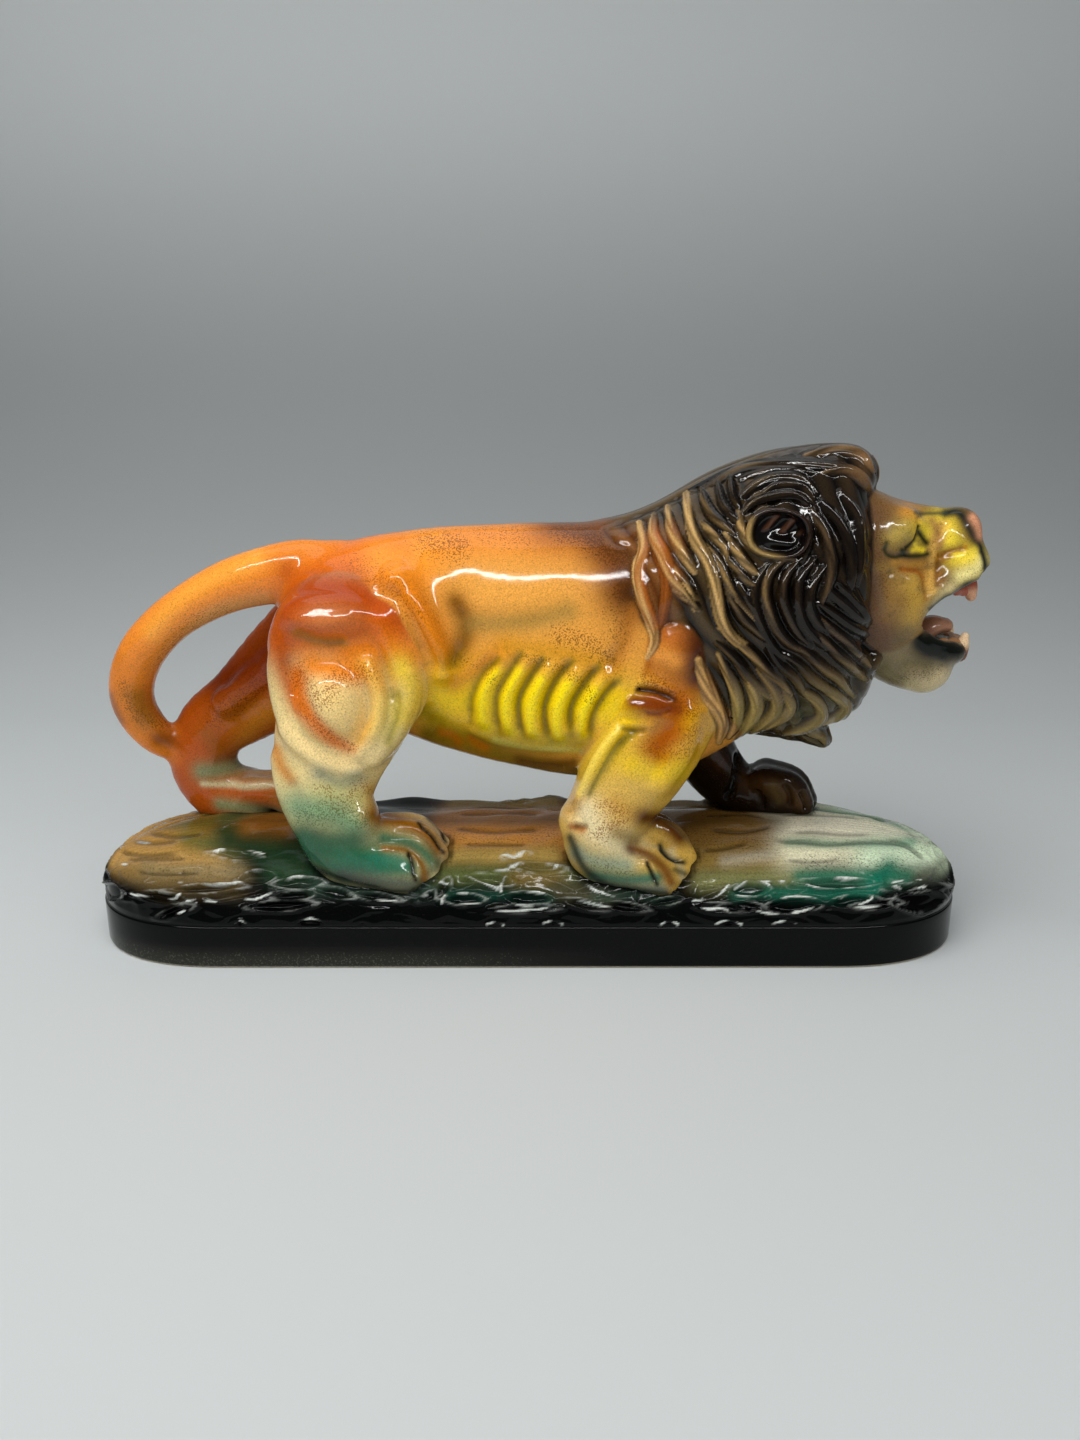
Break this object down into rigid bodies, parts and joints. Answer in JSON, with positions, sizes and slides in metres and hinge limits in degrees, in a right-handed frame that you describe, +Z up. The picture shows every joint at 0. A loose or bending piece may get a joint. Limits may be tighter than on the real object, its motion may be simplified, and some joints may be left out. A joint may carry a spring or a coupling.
{
  "type": "ceramic lion figurine",
  "caption": "Glazed ceramic figurine of a roaring lion walking along a hollow log-shaped plinth, its tail curling down to the hock; stands on a shelf or table as an ornament.",
  "frame": {"origin": "middle of the bounding box, on the plane that the plinth's foot rim stands on", "axes": "+X towards the lion's nose, +Y towards its left flank, +Z up"},
  "size_m": [0.391, 0.104, 0.2181],
  "materials": {
    "plinth_glaze": "glossy black to dark green glaze with ochre and cream on top",
    "coat_glaze": "glossy transparent glaze over airbrushed underglaze colours: orange rump, tan back, yellow ribs, cream and green lower legs",
    "mane_glaze": "glossy near-black glaze with tan showing along the locks' edges",
    "face_glaze": "glossy transparent glaze over airbrushed underglaze colours: olive cheeks, yellow muzzle, black-green nose and lips",
    "tooth_glaze": "glossy cream and pink-brown glaze"
  },
  "bodies": {
    "root": {"plinth": "plinth_glaze", "trunk": "coat_glaze", "mane": "mane_glaze", "right_fore_leg": "coat_glaze", "left_fore_leg": "coat_glaze", "right_hind_leg": "coat_glaze", "left_hind_leg": "coat_glaze", "tail": "coat_glaze", "head": "face_glaze", "lower_jaw": "face_glaze", "tongue": "tooth_glaze", "right_ear": "mane_glaze", "left_ear": "mane_glaze", "upper_right_fang": "tooth_glaze", "upper_left_fang": "tooth_glaze", "lower_right_fang": "tooth_glaze", "lower_left_fang": "tooth_glaze"}
  },
  "joints": []
}
